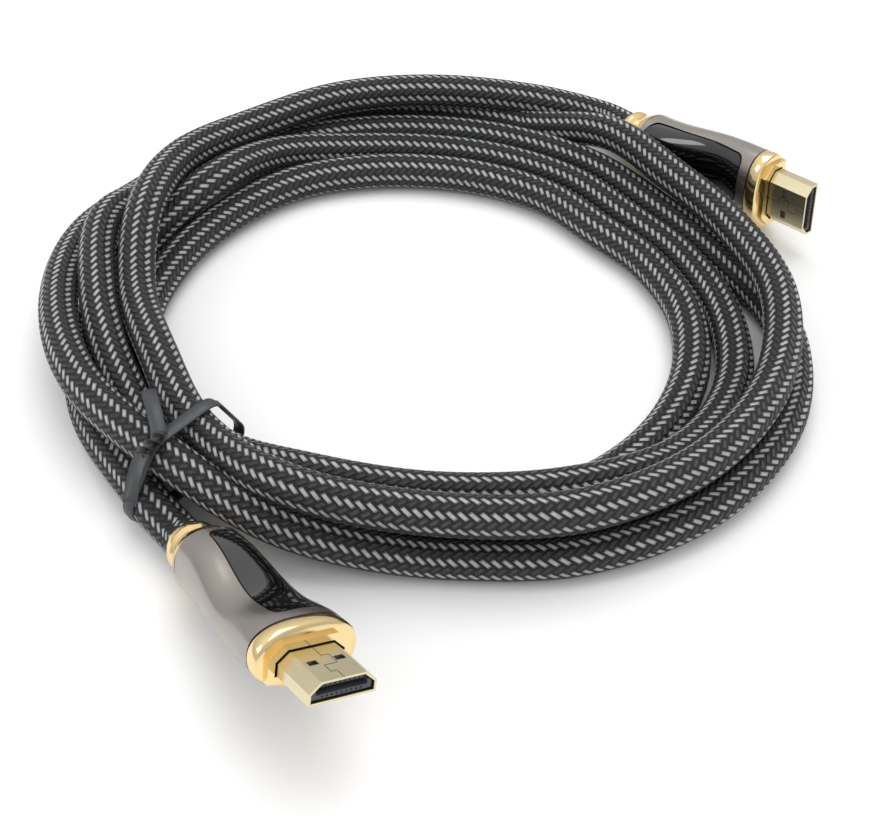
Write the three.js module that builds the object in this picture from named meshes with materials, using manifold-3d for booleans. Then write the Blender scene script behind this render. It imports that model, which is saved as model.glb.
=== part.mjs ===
// A braided audio-video cable, wound in a loose coil and held by a paper-wire tie, with a plug at each end.
// Millimetres, +Z up. The coil lies on the ground plane, and the origin is under the middle of the whole thing.
import * as THREE from 'three';
import { mergeVertices } from 'three/addons/utils/BufferGeometryUtils.js';
import Module from 'manifold-3d';

const wasm = await Module();
wasm.setup();

// Fits: the gap between two pieces that sit against each other, and the one between turns of the coil.
const seatGap = 0.3;
const turnGap = 0.5;

// Cable
const cableDiameter = 9.2;
const cableSides = 12;

// Coil: a lane is one cable width outwards, a level is one cable width up.
const innerLaneRadius = 58;
const stationsPerTurn = 18;
const firstStationDegrees = 230;
const tieLift = 1.5;
const tieLiftSpread = 24;

// Connector, along its own length from the rear of the collar to the tip of the plug
const collarLength = 8.5;
const collarRearRadius = 5.8;
const housingLength = 36.8;
const housingRearWidth = 15.4;
const housingFrontWidth = 21.2;
const housingRearHeight = 14;
const housingWaistHeight = 10.4;
const housingFrontHeight = 12.4;
const bezelLength = 3.4;
const bezelRim = 0.5;
const bossHeight = 1.2;
const bossMargin = 1.7;
const plugWidth = 13.9;
const plugHeight = 4.45;
const plugChamferWidth = 2.3;
const plugChamferHeight = 2;
const plugWall = 0.45;
const plugReach = 11.7;
const latchHoleWidth = 2;
const latchHoleLength = 1.5;
const latchHoleSpacing = 5.6;
const latchHoleFromTip = 6.4;
const insertRecess = 0.5;
const tongueSlotWidth = 10.6;
const tongueSlotHeight = 1.5;
const tongueSlotDepth = 8;
const inlayThickness = 0.7;
const inlayRearWidth = 9;
const inlayFrontWidth = 12.5;
const inlayOffset = 2.9;
const inlayRearMargin = 1.6;
const inlayFrontMargin = 3.2;
const inlayCorner = 2.4;

// Tie
const tieDegrees = 230;
const ribbonWidth = 3.3;
const ribbonThickness = 0.6;
const tieClearance = 0.9;
const knotLength = 5.2;
const knotThickness = 2.2;
const upperTailLength = 14;
const lowerTailLength = 12;

const colours = {
  cable: 0x6d6d70,
  gold: 0xe3c57e,
  gunmetal: 0x87827d,
  inlay: 0x08080a,
  plug: 0xcdbf94,
  plastic: 0x4c4c52,
  tie: 0x45474a,
};

function material(color, roughness, metalness) {
  return new THREE.MeshStandardMaterial({ color, roughness, metalness });
}

// Solids are joined and cut as manifolds, from closed geometries with shared vertices.
function toSolid(geometry) {
  const bare = geometry.clone();
  bare.deleteAttribute('normal');
  bare.deleteAttribute('uv');
  const merged = mergeVertices(bare, 1e-4);
  return new wasm.Manifold(new wasm.Mesh({
    numProp: 3,
    vertProperties: new Float32Array(merged.attributes.position.array),
    triVerts: new Uint32Array(merged.index.array),
  }));
}

function toGeometry(solid) {
  const mesh = solid.getMesh();
  const geometry = new THREE.BufferGeometry();
  geometry.setAttribute('position', new THREE.BufferAttribute(new Float32Array(mesh.vertProperties), 3));
  geometry.setIndex(new THREE.BufferAttribute(new Uint32Array(mesh.triVerts), 1));
  return geometry;
}

// Extrudes an outline in (y, z) along +X, from x0 to x1.
function alongX(shape, x0, x1) {
  const geometry = new THREE.ExtrudeGeometry(shape, { depth: x1 - x0, bevelEnabled: false, curveSegments: 8 });
  geometry.applyMatrix4(new THREE.Matrix4().makeBasis(
    new THREE.Vector3(0, 1, 0), new THREE.Vector3(0, 0, 1), new THREE.Vector3(1, 0, 0)));
  return geometry.translate(x0, 0, 0);
}

// Skins oval sections { x, width, height, lift } along +X and closes both ends.
function loft(sections, squareness, around = 40) {
  const positions = [];
  const triangles = [];
  for (const { x, width, height, lift = 0 } of sections) {
    for (let i = 0; i < around; i++) {
      const angle = (i / around) * 2 * Math.PI;
      const c = Math.cos(angle);
      const s = Math.sin(angle);
      const reach = (value) => Math.sign(value) * Math.abs(value) ** (2 / squareness);
      positions.push(x, (reach(c) * width) / 2, (reach(s) * height) / 2 + lift);
    }
  }
  for (let k = 0; k + 1 < sections.length; k++) {
    for (let i = 0; i < around; i++) {
      const a = k * around + i;
      const b = k * around + ((i + 1) % around);
      triangles.push(a, b, a + around, b, b + around, a + around);
    }
  }
  const last = (sections.length - 1) * around;
  const rearCentre = positions.length / 3;
  positions.push(sections[0].x, 0, sections[0].lift ?? 0);
  positions.push(sections.at(-1).x, 0, sections.at(-1).lift ?? 0);
  for (let i = 0; i < around; i++) {
    const next = (i + 1) % around;
    triangles.push(rearCentre, next, i);
    triangles.push(rearCentre + 1, last + i, last + next);
  }
  const geometry = new THREE.BufferGeometry();
  geometry.setAttribute('position', new THREE.Float32BufferAttribute(positions, 3));
  geometry.setIndex(triangles);
  return geometry;
}

// Where each piece of the connector starts along its length
const housingStart = collarLength + seatGap;
const housingEnd = housingStart + housingLength;
const bezelStart = housingEnd + seatGap;
const bezelEnd = bezelStart + bezelLength;
const bossEnd = bezelEnd + bossHeight;
const plugTip = bossEnd + plugReach;
const housingSquareness = 2.5;

// The side view is a wave: the back stays level and the top swells behind the waist.
function housingSection(share, shave = 0) {
  const ease = THREE.MathUtils.smoothstep(share, 0, 1);
  const toWaist = THREE.MathUtils.smoothstep(share, 0.12, 0.62);
  const fromWaist = THREE.MathUtils.smoothstep(share, 0.62, 1);
  const width = THREE.MathUtils.lerp(housingRearWidth, housingFrontWidth, ease);
  const rearToWaist = THREE.MathUtils.lerp(housingRearHeight, housingWaistHeight, toWaist);
  const height = THREE.MathUtils.lerp(rearToWaist, housingFrontHeight, fromWaist);
  const lift = (height - housingFrontHeight) / 2;
  return {
    x: housingStart + share * housingLength,
    width: width - 2 * shave,
    height: height - 2 * shave,
    lift,
  };
}

function housingLoft(shave, overrun = 0) {
  const steps = 16;
  const sections = [];
  for (let i = 0; i <= steps; i++) {
    sections.push(housingSection(i / steps, shave));
  }
  sections[0].x -= overrun;
  sections[steps].x += overrun;
  return loft(sections, housingSquareness, 48);
}

// The inlay's outline on top of the housing and over its left shoulder, wider to the front, its corners rounded
function inlayPrism(margin) {
  const x0 = housingStart + inlayRearMargin - margin;
  const x1 = housingEnd - inlayFrontMargin + margin;
  const rear = inlayRearWidth / 2 + margin;
  const front = inlayFrontWidth / 2 + margin;
  const r = inlayCorner;
  const shape = new THREE.Shape();
  shape.moveTo(x0 + r, -rear);
  shape.lineTo(x1 - r, -front);
  shape.quadraticCurveTo(x1, -front, x1, -front + r);
  shape.lineTo(x1, front - r);
  shape.quadraticCurveTo(x1, front, x1 - r, front);
  shape.lineTo(x0 + r, rear);
  shape.quadraticCurveTo(x0, rear, x0, rear - r);
  shape.lineTo(x0, -rear + r);
  shape.quadraticCurveTo(x0, -rear, x0 + r, -rear);
  return new THREE.ExtrudeGeometry(shape, { depth: housingRearHeight, bevelEnabled: false, curveSegments: 6 }).translate(0, inlayOffset, 0);
}

// The D-shaped section of the plug: chamfered along its narrow top side
function plugOutline(offset) {
  const w = plugWidth / 2 + offset;
  const h = plugHeight / 2 + offset;
  const cut = offset * 0.42;
  const shape = new THREE.Shape();
  shape.moveTo(-w, -h);
  shape.lineTo(w, -h);
  shape.lineTo(w, h - plugChamferHeight - cut);
  shape.lineTo(w - plugChamferWidth - cut, h);
  shape.lineTo(-w + plugChamferWidth + cut, h);
  shape.lineTo(-w, h - plugChamferHeight - cut);
  return shape;
}

function rectangle(width, height, y = 0, z = 0) {
  const shape = new THREE.Shape();
  shape.moveTo(y - width / 2, z - height / 2);
  shape.lineTo(y + width / 2, z - height / 2);
  shape.lineTo(y + width / 2, z + height / 2);
  shape.lineTo(y - width / 2, z + height / 2);
  return shape;
}

function rearCollar() {
  const rear = 2 * collarRearRadius;
  const neck = rear - 1.6;
  const front = housingSection(0);
  const lift = front.lift;
  return loft([
    { x: 0, width: rear - 1.6, height: rear - 1.6 },
    { x: 0.5, width: rear - 0.4, height: rear - 0.4 },
    { x: 1.3, width: rear, height: rear },
    { x: 2.1, width: rear - 0.3, height: rear - 0.3 },
    { x: 2.7, width: neck, height: neck },
    { x: 3.4, width: neck, height: neck },
    { x: 5.4, width: (neck + front.width) / 2, height: (neck + front.height) / 2 - 0.5, lift: lift / 2 },
    { x: 7.2, width: front.width - 0.6, height: front.height - 0.6, lift },
    { x: collarLength, width: front.width, height: front.height, lift },
  ], 2.2);
}

function housingShell() {
  const pocket = toSolid(inlayPrism(seatGap)).subtract(toSolid(housingLoft(inlayThickness + seatGap, 1)));
  return toGeometry(toSolid(housingLoft(0)).subtract(pocket));
}

function topInlay() {
  const skin = toSolid(housingLoft(0)).subtract(toSolid(housingLoft(inlayThickness, 1)));
  return toGeometry(skin.intersect(toSolid(inlayPrism(0))));
}

function frontBezel() {
  const width = housingFrontWidth + bezelRim;
  const height = housingFrontHeight + bezelRim;
  const round = 0.9;
  const rim = toSolid(loft([
    { x: bezelStart, width: width - 0.4, height: height - 0.4 },
    { x: bezelStart + 0.5, width, height },
    { x: bezelEnd - round, width, height },
    { x: bezelEnd - round / 3, width: width - round * 0.6, height: height - round * 0.6 },
    { x: bezelEnd, width: width - 2 * round, height: height - 2 * round },
  ], 2.3, 48));
  const boss = toSolid(alongX(plugOutline(bossMargin), bezelEnd - 1, bossEnd));
  const hole = toSolid(alongX(plugOutline(seatGap), bezelStart - 1, bossEnd + 1));
  return toGeometry(rim.add(boss).subtract(hole));
}

function plugShell() {
  const start = bezelStart;
  const tube = toSolid(alongX(plugOutline(0), start, plugTip))
    .subtract(toSolid(alongX(plugOutline(-plugWall), start - 1, plugTip + 1)));
  const holes = [-1, 1].map((side) => {
    const hole = new THREE.BoxGeometry(latchHoleLength, latchHoleWidth, 2);
    hole.translate(plugTip - latchHoleFromTip, (side * latchHoleSpacing) / 2, plugHeight / 2);
    return toSolid(hole);
  });
  return toGeometry(tube.subtract(holes[0]).subtract(holes[1]));
}

function contactInsert() {
  const end = plugTip - insertRecess;
  const block = toSolid(alongX(plugOutline(-plugWall - seatGap), bezelStart, end));
  const slotDepth = rectangle(tongueSlotWidth, tongueSlotHeight, 0, 0.15);
  return toGeometry(block.subtract(toSolid(alongX(slotDepth, end - tongueSlotDepth, end + 1))));
}

// One connector: its pieces in its own frame, the collar's rear at the origin and the nose along +X
function connector(prefix) {
  const gold = material(colours.gold, 0.14, 1);
  const pieces = [
    ['rear_collar', rearCollar(), gold],
    ['housing_shell', housingShell(), material(colours.gunmetal, 0.3, 0.9)],
    ['top_inlay', topInlay(), material(colours.inlay, 0.06, 0)],
    ['front_bezel', frontBezel(), gold],
    ['plug_shell', plugShell(), material(colours.plug, 0.25, 1)],
    ['contact_insert', contactInsert(), material(colours.plastic, 0.5, 0)],
  ];
  const group = new THREE.Group();
  for (const [name, geometry, finish] of pieces) {
    const mesh = new THREE.Mesh(geometry, finish);
    mesh.name = `${prefix}_${name}`;
    group.add(mesh);
  }
  return group;
}

// Where the two connectors lie: the collar's rear, the heading, how far the nose points up, and the roll
const connectors = [
  { name: 'front', at: [-50.3, -86.6, 6.6], heading: -54.3, pitch: 16.5, roll: -19, straight: [seatGap, 5] },
  { name: 'back', at: [55.5, 66.2, 7.4], heading: -49, pitch: 6, roll: 87, straight: [12, seatGap] },
];

function placeConnector({ name, at, heading, pitch, roll }) {
  const rad = THREE.MathUtils.degToRad;
  const group = connector(name);
  group.rotation.order = 'ZYX';
  group.rotation.set(rad(roll), rad(-pitch), rad(heading));
  group.position.set(...at);
  return group;
}

// Coil: for each turn, the lane at every station from the tie round to the tie again, clockwise from above,
// and the level, where the turn rides on others.
const lanes = [
  [3.85, 3.35, 2.75, 1.85, 0.95, 1.05, 0.55, 0.22, 0.06, 0.05, 0.05, 0.7, 1.5, 2.2, 2.55, 2.42, 2.13, 2.05],
  [1.7, 1.6, 1.45, 0.9, 0.42, 0.05, -0.45, -0.8, -0.95, -0.95, -0.92, -0.27, 0.48, 1.12, 1.62, 1.92, 1.93, 2.4],
  [2.72, 2.45, 2.4, 2.6, 2.05, 2, 1.55, 1.22, 1.07, 1.06, 1.03, 1.67, 2.92, 3.62, 3.8, 3.58, 3.12, 3.25],
  [3.2, 3.4, 3.4, 3.35, 3, 3, 2.57, 2.15, 1.97, 1.75, 1.5, 1.92, 2.66, 3.13, 3.36, 3.4, 3.03, 2.85],
  [2.15, 1.5, 1.45, 1.55, 1.9, 1.9, 2, 1.9, 2.55],
];
const levels = [
  [0, 0, 0, 0.3, 0.9, 0.45, 0.1, 0, 0, 0, 0, 0, 0, 0.1, 0.45, 0.87, 0.95, 0.9],
  [],
  [0, 0.6, 1.05, 1.15, 0.3, 0, 0, 0, 0, 0, 0, 0, 0, 0, 0, 0, 0, 0.42],
  [0.87, 1, 0.85, 0.45, 0, 0, 0, 0, 0, 0.8, 0.9, 0.95, 1, 0.92, 1, 1.2, 1.28, 1.3],
  [0.87, 1.05, 1.05, 1.6, 1.35, 1, 0.95, 0.95, 0.55],
];

const lanePitch = cableDiameter + turnGap;

function coilPoint(degrees, lane, level) {
  const angle = THREE.MathUtils.degToRad(degrees);
  const radius = innerLaneRadius + lane * lanePitch;
  const fromTie = ((degrees - tieDegrees + 540) % 360) - 180;
  const lift = tieLift * Math.exp(-((fromTie / tieLiftSpread) ** 2));
  return new THREE.Vector3(
    radius * Math.cos(angle),
    radius * Math.sin(angle),
    cableDiameter / 2 + lift + level * lanePitch);
}

function coilStations() {
  const points = [];
  for (const [turn, row] of lanes.entries()) {
    for (const [k, lane] of row.entries()) {
      const degrees = firstStationDegrees - (360 / stationsPerTurn) * k;
      points.push(coilPoint(degrees, lane, levels[turn][k] ?? 0));
    }
  }
  return points;
}

// The cable runs straight into the back of each collar.
function collarPoint({ at, heading, pitch }, distance) {
  const rad = THREE.MathUtils.degToRad;
  const nose = new THREE.Vector3(
    Math.cos(rad(heading)) * Math.cos(rad(pitch)), Math.sin(rad(heading)) * Math.cos(rad(pitch)), Math.sin(rad(pitch)));
  return new THREE.Vector3(...at).addScaledVector(nose, -distance);
}

class Route extends THREE.Curve {
  constructor(points) {
    super();
    this.points = points;
  }

  getPoint(t, target = new THREE.Vector3()) {
    const place = THREE.MathUtils.clamp(t, 0, 1) * (this.points.length - 1);
    const k = Math.min(Math.floor(place), this.points.length - 2);
    return target.lerpVectors(this.points[k], this.points[k + 1], place - k);
  }

  getSpacedPoints(divisions) {
    return this.getPoints(divisions);
  }

  getTangentAt(u, target) {
    return this.getTangent(u, target);
  }
}

const [front, back] = connectors;
const route = [
  ...front.straight.map((distance) => collarPoint(front, distance)),
  ...coilStations(),
  ...back.straight.map((distance) => collarPoint(back, distance)),
];

function cable() {
  const section = new THREE.Shape();
  section.absarc(0, 0, cableDiameter / 2, 0, 2 * Math.PI);
  return new THREE.ExtrudeGeometry(section, {
    steps: route.length - 1,
    extrudePath: new Route(route),
    curveSegments: cableSides / 2,
  });
}

// The tie is a flat ribbon round the whole bundle, with its two ends twisted into a knot on top of it.
function bundleOutline(clearance) {
  const centres = lanes.map((row, turn) => coilPoint(tieDegrees, row[0], levels[turn][0] ?? 0))
    .map((p) => new THREE.Vector2(Math.hypot(p.x, p.y), p.z));
  const shape = new THREE.Path();
  const steps = 40;
  for (let i = 0; i < steps; i++) {
    const angle = (i / steps) * 2 * Math.PI;
    const normal = new THREE.Vector2(Math.cos(angle), Math.sin(angle));
    const furthest = centres.reduce((best, c) => (c.dot(normal) > best.dot(normal) ? c : best));
    const p = furthest.clone().addScaledVector(normal, cableDiameter / 2 + clearance);
    if (i === 0) {
      shape.moveTo(p.x, p.y);
    } else {
      shape.lineTo(p.x, p.y);
    }
  }
  return shape;
}

function strip(length, rise) {
  const t = ribbonThickness;
  const shape = new THREE.Shape();
  shape.moveTo(0, 0);
  shape.quadraticCurveTo(length * 0.5, 0, length, rise);
  shape.lineTo(length - t * 0.3, rise + t);
  shape.quadraticCurveTo(length * 0.5, t, 0, t);
  const geometry = new THREE.ExtrudeGeometry(shape, { depth: ribbonWidth, bevelEnabled: false, curveSegments: 6 });
  return geometry.translate(0, 0, -ribbonWidth / 2).rotateX(Math.PI / 2);
}

function twistTie() {
  const outer = new THREE.Shape(bundleOutline(tieClearance + ribbonThickness).getPoints());
  outer.holes.push(bundleOutline(tieClearance));
  const band = new THREE.ExtrudeGeometry(outer, { depth: ribbonWidth, bevelEnabled: false });
  band.translate(0, 0, -ribbonWidth / 2).rotateX(Math.PI / 2);
  const outerGroove = coilPoint(tieDegrees, lanes[3][0], levels[3][0]);
  const place = new THREE.Vector3(
    Math.hypot(outerGroove.x, outerGroove.y) + 1.2, 0, outerGroove.z + cableDiameter / 2 + tieClearance);
  const knot = new THREE.BoxGeometry(knotLength, ribbonWidth * 0.9, knotThickness, 1, 1, 1);
  knot.rotateZ(Math.PI / 2).translate(place.x, 0, place.z + knotThickness / 2 - 0.2);
  const upper = strip(upperTailLength, 1.5).rotateZ(-1.95).translate(place.x, 0, place.z + 0.9);
  const lower = strip(lowerTailLength, -4.5).rotateZ(0.75).translate(place.x, 0, place.z + 0.9);
  const whole = [knot, upper, lower].reduce((solid, piece) => solid.add(toSolid(piece)), toSolid(band));
  return toGeometry(whole).rotateZ(THREE.MathUtils.degToRad(tieDegrees));
}

const part = new THREE.Group();
const cableMesh = new THREE.Mesh(cable(), material(colours.cable, 0.5, 0));
cableMesh.name = 'braided_cable';
const tieMesh = new THREE.Mesh(twistTie(), material(colours.tie, 0.6, 0));
tieMesh.name = 'twist_tie';
part.add(cableMesh, tieMesh, placeConnector(front), placeConnector(back));

// The origin goes under the middle of the whole part.
part.updateMatrixWorld(true);
const box = new THREE.Box3().setFromObject(part, true);
const middle = box.getCenter(new THREE.Vector3());
part.position.set(-middle.x, -middle.y, -box.min.z);

export default part;
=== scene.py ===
"""A braided audio-video cable in a loose coil, with a metal-shelled plug at each end and a twist tie."""
from math import ceil, cos, exp, hypot, pi, radians, sin

import bmesh
import bpy
from mathutils import Matrix, Vector


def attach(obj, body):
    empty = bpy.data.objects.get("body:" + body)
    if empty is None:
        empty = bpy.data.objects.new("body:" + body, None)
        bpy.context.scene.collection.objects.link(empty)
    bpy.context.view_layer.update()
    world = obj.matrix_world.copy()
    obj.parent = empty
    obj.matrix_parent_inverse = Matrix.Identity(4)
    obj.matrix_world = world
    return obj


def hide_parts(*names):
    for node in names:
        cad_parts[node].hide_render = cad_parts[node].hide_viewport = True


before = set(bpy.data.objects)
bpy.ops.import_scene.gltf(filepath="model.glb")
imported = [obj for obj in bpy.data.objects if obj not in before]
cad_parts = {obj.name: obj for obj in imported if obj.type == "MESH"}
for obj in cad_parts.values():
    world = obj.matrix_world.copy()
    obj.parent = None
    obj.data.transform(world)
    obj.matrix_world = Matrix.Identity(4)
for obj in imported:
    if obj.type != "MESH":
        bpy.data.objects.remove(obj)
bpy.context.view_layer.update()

scene = bpy.context.scene

# Camera
# It stands in front of the coil and looks down on it at 44 degrees, as the photograph does.
# Lengths of the part are millimetres in this file, turned to metres by mm where they reach Blender.
mm = 0.001
coil_middle = Vector((-1.9202, 27.9113, 0))
camera_from_coil = Vector((1.15, -289.3, 241))
camera = bpy.data.objects.new("camera", bpy.data.cameras.new("camera"))
camera.data.lens = 61.07
camera.data.sensor_width = 36
camera.data.sensor_fit = "HORIZONTAL"
camera.data.clip_start = 0.01
camera.location = (coil_middle + camera_from_coil) * mm
camera.rotation_euler = (radians(46), 0, 0)
scene.collection.objects.link(camera)
scene.camera = camera


# Braided cable
# A round audio-video cable in a braided sleeve of flat polyester yarns, light ones one way round and black
# ones the other, two over and two under. It is wound by hand, so its turns cross and lie on each other.
cable_diameter = 9.2
lane_pitch = 9.7
inner_lane_radius = 58
tie_degrees = 230
station_degrees = 20
tie_lift, tie_lift_spread = 1.5, 24
yarns_each_way = 16
yarn_pitch = 2.25

# How the two plugs lie: the rear of the collar, the heading, how far the nose points up, and the roll.
front = {"at": (-50.3, -86.6, 6.6), "heading": -54.3, "pitch": 16.5, "roll": -19}
back = {"at": (55.5, 66.2, 7.4), "heading": -49, "pitch": 6, "roll": 87}
# How far behind each collar the cable ends, and how far back from there it runs straight
cable_end_gap = 0.1
front_straight, back_straight = 5, 12

# For each turn, the lane at every 20 degrees from the tie round to the tie again, clockwise from above
lanes = [
    [3.85, 3.35, 2.75, 1.85, 0.95, 1.05, 0.55, 0.22, 0.06,
     0.05, 0.05, 0.7, 1.5, 2.2, 2.55, 2.42, 2.13, 2.05],
    [1.7, 1.6, 1.45, 0.9, 0.42, 0.05, -0.45, -0.8, -0.95,
     -0.95, -0.92, -0.27, 0.48, 1.12, 1.62, 1.92, 1.93, 2.4],
    [2.72, 2.45, 2.4, 2.6, 2.05, 2, 1.55, 1.22, 1.07,
     1.06, 1.03, 1.67, 2.92, 3.62, 3.8, 3.58, 3.12, 3.25],
    [3.2, 3.4, 3.4, 3.35, 3, 3, 2.57, 2.15, 1.97,
     1.75, 1.5, 1.92, 2.66, 3.13, 3.36, 3.4, 3.03, 2.85],
    [2.15, 1.5, 1.45, 1.55, 1.9, 1.9, 2, 1.9, 2.55],
]
# The same for how high the turn rides on the others, in lanes
levels = [
    [0, 0, 0, 0.3, 0.9, 0.45, 0.1, 0, 0, 0, 0, 0, 0, 0.1, 0.45, 0.87, 0.95, 0.9],
    [0] * 18,
    [0, 0.6, 1.05, 1.15, 0.3, 0, 0, 0, 0, 0, 0, 0, 0, 0, 0, 0, 0, 0.42],
    [0.87, 1, 0.85, 0.45, 0, 0, 0, 0, 0, 0.8, 0.9, 0.95, 1, 0.92, 1, 1.2, 1.28, 1.3],
    [0.87, 1.05, 1.05, 1.6, 1.35, 1, 0.95, 0.95, 0.55],
]


def coil_point(degrees, lane, level):
    """A point about the coil's middle: near the tie the whole bundle is lifted a little off the table."""
    radius = inner_lane_radius + lane * lane_pitch
    from_tie = (degrees - tie_degrees + 540) % 360 - 180
    lift = tie_lift * exp(-((from_tie / tie_lift_spread) ** 2))
    angle = radians(degrees)
    return Vector((radius * cos(angle), radius * sin(angle), cable_diameter / 2 + lift + level * lane_pitch))


def placement(plug):
    """The matrix that lays a plug down. Its own X runs from the collar to the tip."""
    heading = Matrix.Rotation(radians(plug["heading"]), 4, "Z")
    pitch = Matrix.Rotation(radians(-plug["pitch"]), 4, "Y")
    return Matrix.Translation(plug["at"]) @ heading @ pitch @ Matrix.Rotation(radians(plug["roll"]), 4, "X")


def behind(plug, distance):
    return placement(plug) @ Vector((-distance, 0, 0))


def smooth_route(points, step):
    """A curve through the points, kept above the table and evenly spaced along its length."""
    fine = []
    for k in range(len(points) - 1):
        a, b = points[k], points[k + 1]
        span = (b - a).length
        before = points[k - 1] if k else a * 2 - b
        after = points[k + 2] if k + 2 < len(points) else b * 2 - a
        ta = (b - before) / ((b - a).length + (a - before).length) * span
        tb = (after - a) / ((after - b).length + (b - a).length) * span
        for i in range(24):
            t = i / 24
            fine.append(a * (2 * t**3 - 3 * t**2 + 1) + ta * (t**3 - 2 * t**2 + t)
                        + b * (3 * t**2 - 2 * t**3) + tb * (t**3 - t**2))
    fine.append(points[-1])
    for point in fine:
        point.z = max(point.z, cable_diameter / 2)
    total = sum((q - p).length for p, q in zip(fine, fine[1:]))
    count = ceil(total / step)
    even, gone, k = [fine[0]], 0.0, 0
    for i in range(1, count):
        wanted = total * i / count
        while gone + (fine[k + 1] - fine[k]).length < wanted:
            gone += (fine[k + 1] - fine[k]).length
            k += 1
        even.append(fine[k].lerp(fine[k + 1], (wanted - gone) / (fine[k + 1] - fine[k]).length))
    return even + [fine[-1]], total


def mesh_of(bm, name):
    """The finished mesh of a bmesh, all its faces turned outward."""
    mesh = bpy.data.meshes.new(name)
    bmesh.ops.recalc_face_normals(bm, faces=bm.faces)
    bm.to_mesh(mesh)
    bm.free()
    return mesh


def link(name, mesh, material):
    """Makes a finished mesh a piece of the part, with its material and the record's slot."""
    mesh.materials.clear()
    mesh.materials.append(material)
    piece = bpy.data.objects.new(name, mesh)
    scene.collection.objects.link(piece)
    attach(piece, "root")
    return piece


def linear(code):
    """An sRGB hex value as linear RGBA."""
    channels = [int(code[i:i + 2], 16) / 255 for i in (1, 3, 5)]
    return tuple(c / 12.92 if c <= 0.04045 else ((c + 0.055) / 1.055) ** 2.4 for c in channels) + (1,)


def add(tree, kind, links, **settings):
    """Adds a node: links gives its inputs, each a value or another node's output."""
    made = tree.nodes.new(kind)
    for name, value in settings.items():
        setattr(made, name, value)
    for key, value in links.items():
        if isinstance(value, bpy.types.NodeSocket):
            tree.links.new(value, made.inputs[key])
        else:
            made.inputs[key].default_value = value
    return made


def calculate(tree, operation, *values):
    return add(tree, "ShaderNodeMath", dict(enumerate(values)), operation=operation).outputs[0]


def between(tree, value, low, high, **links):
    """Maps 0 to 1, or the range given in links, to low to high."""
    given = {"Value": value, "To Min": low, "To Max": high, **links}
    return add(tree, "ShaderNodeMapRange", given).outputs[0]


def colour_mix(tree, factor, one, other):
    return add(tree, "ShaderNodeMix", {0: factor, 6: one, 7: other}, data_type="RGBA").outputs[2]


def noise(tree, scale, detail=2.0):
    """Noise about the part: scale is how many of its grains go to a metre."""
    place = add(tree, "ShaderNodeTexCoord", {}).outputs["Object"]
    return add(tree, "ShaderNodeTexNoise", {"Vector": place, "Scale": scale, "Detail": detail}).outputs[0]


def bump(tree, shader, height, depth, strength):
    """Raises and lowers the surface by height: depth is in metres."""
    made = add(tree, "ShaderNodeBump", {"Height": height, "Distance": depth, "Strength": strength})
    tree.links.new(made.outputs[0], shader.inputs["Normal"])


def finish_of(name, **shader_values):
    """A new material and its tree and shader, with the constants set on the shader."""
    material = bpy.data.materials.new(name)
    material.use_nodes = True
    tree = material.node_tree
    shader = tree.nodes["Principled BSDF"]
    for key, value in shader_values.items():
        shader.inputs[key.replace("_", " ")].default_value = value
    return material, tree, shader


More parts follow.
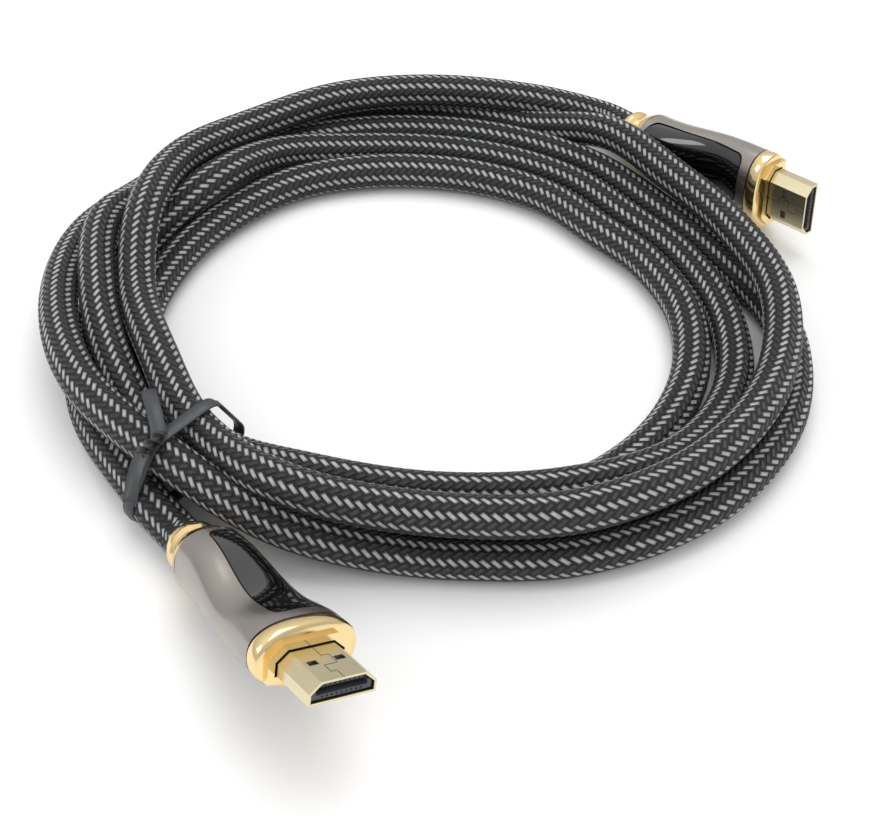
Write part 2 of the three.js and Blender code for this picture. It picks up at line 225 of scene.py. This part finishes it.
def braid_material():
    """Woven polyester sleeve: eight rows of light slanting floats, and eight of black ones between them,
    with painted shade in the hollows between the floats.
    """
    material, tree, shader = finish_of("braided_polyester", Specular_IOR_Level=0.6)
    place = add(tree, "ShaderNodeUVMap", {}, uv_map="braid")
    uv = add(tree, "ShaderNodeSeparateXYZ", {"Vector": place.outputs["UV"]}).outputs
    # Light yarns count up along p and black ones along q, and a cell is where two of them cross
    along = calculate(tree, "MULTIPLY", uv["X"], 1 / yarn_pitch)
    around = calculate(tree, "MULTIPLY", uv["Y"], -float(yarns_each_way))
    p, q = calculate(tree, "ADD", along, around), calculate(tree, "SUBTRACT", along, around)
    p_cell, q_cell = calculate(tree, "FLOOR", p), calculate(tree, "FLOOR", q)
    p_in, q_in = calculate(tree, "FRACT", p), calculate(tree, "FRACT", q)
    # Which yarn is on top, and how far across its width and along its float a point lies
    row = calculate(tree, "FLOORED_MODULO", calculate(tree, "SUBTRACT", p_cell, q_cell), 4.0)
    light = calculate(tree, "LESS_THAN", row, 1.5)
    across = add(tree, "ShaderNodeMix", {"Factor": light, "A": q_in, "B": p_in}).outputs[0]
    light_run = calculate(tree, "ADD", calculate(tree, "SUBTRACT", q_in, row), 1.0)
    black_run = calculate(tree, "ADD", calculate(tree, "ADD", p_in, row), -2.0)
    run = add(tree, "ShaderNodeMix", {"Factor": light, "A": black_run, "B": light_run}).outputs[0]
    side = calculate(tree, "ABSOLUTE", calculate(tree, "SUBTRACT", across, 0.5))
    end = calculate(tree, "ABSOLUTE", calculate(tree, "SUBTRACT", run, 1.0))
    flat_width = add(tree, "ShaderNodeMapRange", {"Value": side, "From Min": 0.4, "From Max": 0.2},
                     interpolation_type="SMOOTHSTEP").outputs[0]
    flat_length = add(tree, "ShaderNodeMapRange", {"Value": end, "From Min": 1.0, "From Max": 0.5},
                      interpolation_type="SMOOTHSTEP").outputs[0]
    yarn = calculate(tree, "MULTIPLY", flat_width, flat_length)
    # Seven filaments run along each yarn, coarser than real ones. The floats' shades differ a little
    filaments = calculate(tree, "SINE", calculate(tree, "MULTIPLY", across, 44.0))
    spot = add(tree, "ShaderNodeCombineXYZ", {"X": p_cell, "Y": q_cell}).outputs[0]
    chance = add(tree, "ShaderNodeTexWhiteNoise", {"Vector": spot}, noise_dimensions="3D").outputs["Value"]
    shade = between(tree, chance, 0.82, 1.0)
    top = colour_mix(tree, light, linear("#25272a"), linear("#b4b6ba"))
    # The near black where no float lies, and at the floats' edges and ends, is painted shade for the hollows
    # of the weave.
    colour = colour_mix(tree, yarn, linear("#050506"), top)
    tone = add(tree, "ShaderNodeHueSaturation", {"Value": shade, "Color": colour}).outputs[0]
    tree.links.new(tone, shader.inputs["Base Color"])
    tree.links.new(between(tree, yarn, 0.75, 0.26), shader.inputs["Roughness"])
    height = calculate(tree, "ADD", yarn, calculate(tree, "MULTIPLY", filaments, 0.06))
    bump(tree, shader, height, 0.00055, 1.0)
    return material


def tube(points, radius, sides):
    """A closed tube along the points, with its braid map: millimetres along, turns around."""
    bm = bmesh.new()
    rings, travelled = [], [0.0]
    ahead = (points[1] - points[0]).normalized()
    across = ahead.cross(Vector((0, 0, 1))).normalized()
    for k, point in enumerate(points):
        after, before = points[min(k + 1, len(points) - 1)], points[max(k - 1, 0)]
        new = (after - before).normalized()
        across = (ahead.rotation_difference(new) @ across)
        across = (across - new * across.dot(new)).normalized()
        ahead = new
        upward = ahead.cross(across)
        ring = []
        for i in range(sides):
            angle = 2 * pi * i / sides
            spot = point + (across * cos(angle) + upward * sin(angle)) * radius
            ring.append(bm.verts.new(spot * mm))
        rings.append(ring)
        if k:
            travelled.append(travelled[-1] + (point - points[k - 1]).length)
    braid = bm.loops.layers.uv.new("braid")
    for k in range(len(rings) - 1):
        for i in range(sides):
            j = (i + 1) % sides
            face = bm.faces.new((rings[k][i], rings[k][j], rings[k + 1][j], rings[k + 1][i]))
            face.smooth = True
            for loop, (u, v) in zip(face.loops, ((k, i), (k, i + 1), (k + 1, i + 1), (k + 1, i))):
                loop[braid].uv = (travelled[u], v / sides)
    bm.faces.new(list(reversed(rings[0])))
    bm.faces.new(rings[-1])
    return mesh_of(bm, "tube")


stations = [behind(front, cable_end_gap), behind(front, front_straight)]
for lane_row, level_row in zip(lanes, levels):
    for k, (lane, level) in enumerate(zip(lane_row, level_row)):
        stations.append(coil_point(tie_degrees - station_degrees * k, lane, level))
stations += [behind(back, back_straight), behind(back, cable_end_gap)]

centreline, cable_length = smooth_route([p + coil_middle for p in stations], 0.8)
cable = link("cable_sleeve", tube(centreline, cable_diameter / 2, 32), braid_material())
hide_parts("braided_cable")


# Rear collars
# Turned brass with a gold plate, polished to a mirror. Each is one piece: a round flange behind, a neck,
# and a cone that widens to the housing, into which it is pressed.
def smooth_copy(name, material, sharp=28):
    """Stands for a CAD node with the same faces, joined up and shaded round, its real edges kept sharp."""
    bm = bmesh.new()
    bm.from_mesh(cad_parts[name].data)
    bmesh.ops.remove_doubles(bm, verts=bm.verts, dist=1e-6)
    bm.verts.index_update()
    mesh = bpy.data.meshes.new(name)
    mesh.from_pydata([v.co[:] for v in bm.verts], [], [[v.index for v in f.verts] for f in bm.faces])
    bm.free()
    mesh.shade_smooth()
    mesh.set_sharp_from_angle(angle=radians(sharp))
    piece = link(name + "_made", mesh, material)
    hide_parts(name)
    return piece


def gold_material():
    """Gold plate: a mirror with the faintest smears, which break up its highlights."""
    material, tree, shader = finish_of("gold_plate", Metallic=1.0, Base_Color=linear("#f0d6a0"))
    tree.links.new(between(tree, noise(tree, 260.0, 3.0), 0.08, 0.2), shader.inputs["Roughness"])
    return material


gold = gold_material()
on_front, on_back = [], []
plugs = ((front, "front", on_front), (back, "back", on_back))
for plug, name, pieces in plugs:
    pieces.append(smooth_copy(name + "_rear_collar", gold))


# Housings
# Die-cast zinc, waisted like a wave in side view, tumbled smooth and plated to a satin gunmetal.
# Each slides over the collar from the front, and has a shallow pocket for its inlay.
def gunmetal_material():
    """Gunmetal plate: satin, with a cast grain of a third of a millimetre and slow clouds in its tone."""
    material, tree, shader = finish_of("gunmetal_plate", Metallic=0.92, Coat_Weight=0.25,
                                       Coat_Roughness=0.12)
    grain = noise(tree, 3000.0)
    tint = colour_mix(tree, noise(tree, 120.0), linear("#96908a"), linear("#a8a29b"))
    tree.links.new(tint, shader.inputs["Base Color"])
    tree.links.new(between(tree, grain, 0.2, 0.3), shader.inputs["Roughness"])
    bump(tree, shader, grain, 0.00001, 0.5)
    return material


gunmetal = gunmetal_material()
for plug, name, pieces in plugs:
    pieces.append(smooth_copy(name + "_housing_shell", gunmetal, 40))


# Inlays
# Injection-moulded black acrylic, glued into the pocket in each housing and left bare.
# It follows the housing's wave and wraps over one shoulder.
def acrylic_material():
    """Black acrylic: deep and glassy, with a trace of orange peel that bends its reflections."""
    material, tree, shader = finish_of("black_acrylic", Base_Color=linear("#060607"), Roughness=0.06,
                                       Coat_Weight=1.0, Coat_Roughness=0.03)
    bump(tree, shader, noise(tree, 500.0), 0.00002, 0.3)
    return material


acrylic = acrylic_material()
for plug, name, pieces in plugs:
    pieces.append(smooth_copy(name + "_top_inlay", acrylic, 40))


# Front bezels
# Brass with the collars' gold plate: an oval rim that closes the housing, and a raised boss round the plug.
# Each is pressed on from the front and holds the plug's shell.
for plug, name, pieces in plugs:
    pieces.append(smooth_copy(name + "_front_bezel", gold))


# Plug shells
# Sheet steel folded into a D and plated pale gold, with two latch holes in its narrow side.
# The folded edges lock into each other along a zigzag seam between the holes.
plug_height = 4.45
boss_end = 50.5
plug_tip = boss_end + 11.7
seam_half_width = 0.06
seam_depth, seam_proud = 0.02, 0.015
# The seam's corners, from the bezel to the tip: how far before the tip, and how far to the side
seam_corners = ((11.7, 0), (8.2, 0), (8.2, 1.5), (5, 1.5), (5, -1.2), (2.6, -1.2), (2.6, 0), (0, 0))


def steel_material():
    """Pale gold over sheet steel, with a faint mottle of about half a millimetre."""
    material, tree, shader = finish_of("plated_sheet_steel", Metallic=1.0)
    mottle = noise(tree, 2500.0)
    tint = colour_mix(tree, mottle, linear("#d6caa6"), linear("#e4d9b8"))
    tree.links.new(tint, shader.inputs["Base Color"])
    tree.links.new(between(tree, mottle, 0.18, 0.3), shader.inputs["Roughness"])
    return material


def gap_shade_material():
    """Painted shade for the inside of the folded seam and of the contact slots: near black and dull, with a
    faint random mottle.
    """
    material, tree, shader = finish_of("painted_gap_shade", Roughness=0.8)
    shade_mottle = noise(tree, 900.0)
    tint = colour_mix(tree, shade_mottle, linear("#080809"), linear("#161618"))
    tree.links.new(tint, shader.inputs["Base Color"])
    return material


def seam(plug, name):
    """A flat dark box of painted shade for each straight run of the seam, standing for the shade in its
    crack.
    """
    bm = bmesh.new()
    to_frame = Matrix.Scale(mm, 4) @ Matrix.Translation(coil_middle) @ placement(plug)
    z = plug_height / 2
    for (back0, y0), (back1, y1) in zip(seam_corners, seam_corners[1:]):
        low = Vector((plug_tip - back0 - seam_half_width, min(y0, y1) - seam_half_width, z - seam_depth))
        high = Vector((plug_tip - back1 + seam_half_width, max(y0, y1) + seam_half_width, z + seam_proud))
        made = bmesh.ops.create_cube(bm, size=1)["verts"]
        fit = Matrix.Translation((low + high) / 2) @ Matrix.Diagonal((*(high - low), 1))
        bmesh.ops.transform(bm, verts=made, matrix=to_frame @ fit)
    return mesh_of(bm, name)


steel, gap_shade = steel_material(), gap_shade_material()
for plug, name, pieces in plugs:
    pieces.append(smooth_copy(name + "_plug_shell", steel))
    # The seam's boxes carry painted shade, for the shade down in the crack.
    pieces.append(link(name + "_plug_seam", seam(plug, name + "_plug_seam"), gap_shade))


# Contact inserts
# Moulded dark grey nylon inside the plug, slotted for the socket's tongue. Two rows of contacts end at its
# face, ten above the slot and nine below it.
contact_pitch = 1.0
contact_size = (0.5, 0.42, 0.36)
contact_depth = 0.7
upper_contacts, upper_height = 10, 1.18
lower_contacts, lower_height = 9, -1.02


def nylon_material():
    """Moulded nylon: dull, with a fine speckle from its glass fibre."""
    material, tree, shader = finish_of("glass_filled_nylon", Roughness=0.5)
    speck = noise(tree, 5000.0)
    tint = colour_mix(tree, speck, linear("#44454b"), linear("#5a5b62"))
    tree.links.new(tint, shader.inputs["Base Color"])
    return material


def contact_row_tree():
    """Geometry nodes: a row of like blocks, one where each contact's slot opens, spaced along one line."""
    tree = bpy.data.node_groups.new("contact_row", "GeometryNodeTree")
    tree.interface.new_socket("Geometry", in_out="OUTPUT", socket_type="NodeSocketGeometry")
    for socket, kind in (("Contacts", "NodeSocketInt"), ("Spacing", "NodeSocketFloat"),
                         ("Size", "NodeSocketVector"), ("Finish", "NodeSocketMaterial")):
        tree.interface.new_socket(socket, in_out="INPUT", socket_type=kind)
    given = add(tree, "NodeGroupInput", {}).outputs
    step = add(tree, "ShaderNodeCombineXYZ", {"Y": given["Spacing"]}).outputs[0]
    row = add(tree, "GeometryNodeMeshLine", {"Count": given["Contacts"], "Offset": step}).outputs[0]
    shape = add(tree, "GeometryNodeMeshCube", {"Size": given["Size"]}).outputs[0]
    blocks = add(tree, "GeometryNodeInstanceOnPoints", {"Points": row, "Instance": shape}).outputs[0]
    real = add(tree, "GeometryNodeRealizeInstances", {"Geometry": blocks}).outputs[0]
    done = add(tree, "GeometryNodeSetMaterial", {"Geometry": real, "Material": given["Finish"]}).outputs[0]
    add(tree, "NodeGroupOutput", {"Geometry": done})
    return tree


contact_rows = contact_row_tree()


def contact_row(plug, name, count, z):
    """One row of contacts: its blocks, let into the insert's face, are painted shade for the contacts'
    slots.
    """
    holder = bpy.data.objects.new(name, bpy.data.meshes.new(name))
    scene.collection.objects.link(holder)
    rows = holder.modifiers.new("contacts", "NODES")
    rows.node_group = contact_rows
    # The blocks take the painted gap shade, for the shade in the contacts' slots.
    values = {"Contacts": count, "Spacing": contact_pitch, "Size": contact_size, "Finish": gap_shade}
    for item in contact_rows.interface.items_tree:
        if item.in_out == "INPUT":
            rows[item.identifier] = values[item.name]
    shown = holder.evaluated_get(bpy.context.evaluated_depsgraph_get())
    mesh = bpy.data.meshes.new_from_object(shown)
    bpy.data.objects.remove(holder)
    start = Matrix.Translation((plug_tip - contact_depth, -(count - 1) * contact_pitch / 2, z))
    mesh.transform(Matrix.Scale(mm, 4) @ Matrix.Translation(coil_middle) @ placement(plug) @ start)
    return link(name, mesh, gap_shade)


nylon = nylon_material()
for plug, name, pieces in plugs:
    pieces.append(smooth_copy(name + "_contact_insert", nylon))
    pieces.append(contact_row(plug, name + "_upper_contacts", upper_contacts, upper_height))
    pieces.append(contact_row(plug, name + "_lower_contacts", lower_contacts, lower_height))


# Twist tie
# A steel wire in a flat grey plastic ribbon. It goes once round the bundle, its ends are twisted together by
# hand on top, and the two tails are left lying.
tie_width, tie_thickness = 3.3, 0.45
ring_steps, knot_steps, tail_steps = 120, 20, 16
tie_clearance, arch_slack = 0.55, 2.2
knot_length, knot_rear, knot_half_turns = 6.5, 3, 3.2
knot_above_cable = 1.6
# A ribbon's section, in shares of its width and thickness: flat, with its edges rounded over the wire
ribbon_section = ((-0.5, 0), (-0.46, 0.5), (-0.2, 0.55), (0, 1.1), (0.2, 0.55), (0.46, 0.5), (0.5, 0),
                  (0.46, -0.5), (0.2, -0.55), (0, -1.1), (-0.2, -0.55), (-0.46, -0.5))


def plastic_material():
    """Extruded PVC ribbon: satin grey and slightly uneven, about a millimetre from one rise to the next."""
    material, tree, shader = finish_of("pvc_ribbon", Roughness=0.42)
    uneven = noise(tree, 900.0, 4.0)
    tint = colour_mix(tree, uneven, linear("#2c2e30"), linear("#3e4043"))
    tree.links.new(tint, shader.inputs["Base Color"])
    bump(tree, shader, uneven, 0.00004, 0.5)
    return material


def ribbon(bm, points, faces_out, closed=False):
    """A ribbon along the points. faces_out gives the way its broad side faces at each of them."""
    rings, count, corners = [], len(points), len(ribbon_section)
    for k, (point, out) in enumerate(zip(points, faces_out)):
        after = points[(k + 1) % count] if closed else points[min(k + 1, count - 1)]
        before = points[k - 1] if closed else points[max(k - 1, 0)]
        ahead = (after - before).normalized()
        out = (out - ahead * out.dot(ahead)).normalized()
        side = ahead.cross(out)
        centre = point + coil_middle
        rings.append([bm.verts.new((centre + side * a * tie_width + out * b * tie_thickness) * mm)
                      for a, b in ribbon_section])
    for k in range(count if closed else count - 1):
        one, two = rings[k], rings[(k + 1) % count]
        for i in range(corners):
            j = (i + 1) % corners
            bm.faces.new((one[i], one[j], two[j], two[i])).smooth = True
    if not closed:
        bm.faces.new(list(reversed(rings[0])))
        bm.faces.new(rings[-1])


def twist_tie():
    bm = bmesh.new()
    angle = radians(tie_degrees)
    outward, up = Vector((cos(angle), sin(angle), 0)), Vector((0, 0, 1))

    # The ring stands off the outermost cable each way round, and arches up on the coil's inner side
    starts = [(lane_row[0], level_row[0]) for lane_row, level_row in zip(lanes, levels)]
    bundle = [coil_point(tie_degrees, lane, level) for lane, level in starts]
    centres = [(hypot(p.x, p.y), p.z) for p in bundle]
    ring, normals = [], []
    for i in range(ring_steps):
        way = 2 * pi * i / ring_steps
        c, s = cos(way), sin(way)
        slack = tie_clearance + arch_slack * max(0, -c * 0.9 + s * 0.3) ** 3
        r, z = max(centres, key=lambda spot: spot[0] * c + spot[1] * s)
        reach = cable_diameter / 2 + slack
        ring.append(outward * (r + c * reach) + up * (z + s * reach))
        normals.append(outward * c + up * s)
    ribbon(bm, ring, normals, closed=True)

    # The knot is a piece of ribbon turned about its own length, on the outer half of the bundle
    knot = coil_point(tie_degrees + 0.5, 3.5, 0.87) + up * (cable_diameter / 2 + knot_above_cable)
    along = (outward + up * -0.25).normalized()
    sideways = along.cross(up).normalized()
    twist = [knot + along * (i / knot_steps * knot_length - knot_rear) for i in range(knot_steps + 1)]
    turns = [knot_half_turns * pi * i / knot_steps for i in range(knot_steps + 1)]
    ribbon(bm, twist, [up * cos(turn) + sideways * sin(turn) for turn in turns])

    # One tail lies back over the coil's inner side, the other hangs over its outer side
    inner_tip = coil_point(222, 2.55, 0.95) + up * (cable_diameter / 2 + 1.4)
    outer_tip = coil_point(233.5, 4.75, 0.9) + up * 1.5
    for start, tip, crown in ((twist[2], inner_tip, 2.2), (twist[-3], outer_tip, 1.4)):
        shares = [i / tail_steps for i in range(tail_steps + 1)]
        path = [start.lerp(tip, t) + up * crown * sin(pi * t) for t in shares]
        ribbon(bm, path, [up + sideways * 0.15 * sin(pi * t) for t in shares])
    return mesh_of(bm, "twist_tie")


tie = link("twist_tie_ribbon", twist_tie(), plastic_material())
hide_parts("twist_tie")


# Studio
# White paper under a large soft box, with a small one to the left, and light from all round that falls off
# towards the table. Lengths here are metres.
paper_half, paper_drop = 3, 0.0002
soft_boxes = (("overhead", (0.1, 0.35, 1.1), 0.9, 5.5), ("left", (-0.9, -0.2, 0.7), 0.4, 1.6))

paper = bpy.data.meshes.new("paper")
paper_corners = [(x * paper_half, y * paper_half, 0) for x, y in ((-1, -1), (1, -1), (1, 1), (-1, 1))]
paper.from_pydata(paper_corners, [], [(0, 1, 2, 3)])
paper.materials.append(finish_of("white_paper", Base_Color=linear("#f6f6f6"), Roughness=0.6,
                                 Specular_IOR_Level=0.2)[0])
floor = bpy.data.objects.new("paper", paper)
floor.location.z = -paper_drop
scene.collection.objects.link(floor)

for name, place, size, power in soft_boxes:
    lamp = bpy.data.lights.new(name, "AREA")
    lamp.size, lamp.energy = size, power
    soft_box = bpy.data.objects.new(name, lamp)
    soft_box.location = place
    soft_box.rotation_euler = (-Vector(place)).to_track_quat("-Z", "Y").to_euler()
    scene.collection.objects.link(soft_box)

world = bpy.data.worlds.new("studio")
world.use_nodes = True
scene.world = world
sky = world.node_tree
direction = add(sky, "ShaderNodeTexCoord", {}).outputs["Generated"]
upwards = add(sky, "ShaderNodeSeparateXYZ", {"Vector": direction}).outputs["Z"]
glow = between(sky, upwards, 0.55, 1.0, **{"From Min": 0.0, "From Max": 0.8})
sky.links.new(glow, sky.nodes["Background"].inputs["Strength"])
sky.nodes["Background"].inputs["Color"].default_value = (1, 1, 1, 1)
scene.view_settings.view_transform = "Standard"
